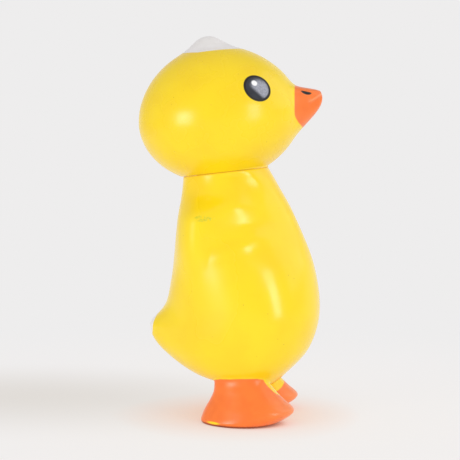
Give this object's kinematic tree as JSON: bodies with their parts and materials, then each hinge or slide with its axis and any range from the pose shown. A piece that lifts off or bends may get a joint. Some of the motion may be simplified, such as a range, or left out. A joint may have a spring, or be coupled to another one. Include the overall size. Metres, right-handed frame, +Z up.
{
  "type": "vinyl chick figure",
  "caption": "Standing chick figure of hollow soft vinyl, with flat feet, stub wings, a short pointed tail and a round head that turns on a snap-in neck plug.",
  "frame": {"origin": "on the floor under the middle of the figure's bounding box", "axes": "+X is the way the beak points, +Y is the figure's left, +Z is up"},
  "size_m": [0.0863, 0.0708, 0.1794],
  "materials": {
    "body_vinyl": "moulded soft vinyl, glossy yellow, feet sprayed orange and tail tip white",
    "head_vinyl": "moulded soft vinyl, satin yellow, beak sprayed orange and crown tuft white"
  },
  "bodies": {
    "body": {"body": "body_vinyl"},
    "head": {"head": "head_vinyl"}
  },
  "joints": [
    {"name": "neck_turn", "type": "hinge", "parent": "body", "child": "head", "pos_m": [-0.002, 0, 0.1154], "axis": [-0.1167, 0, 0.9932], "continuous": true}
  ]
}
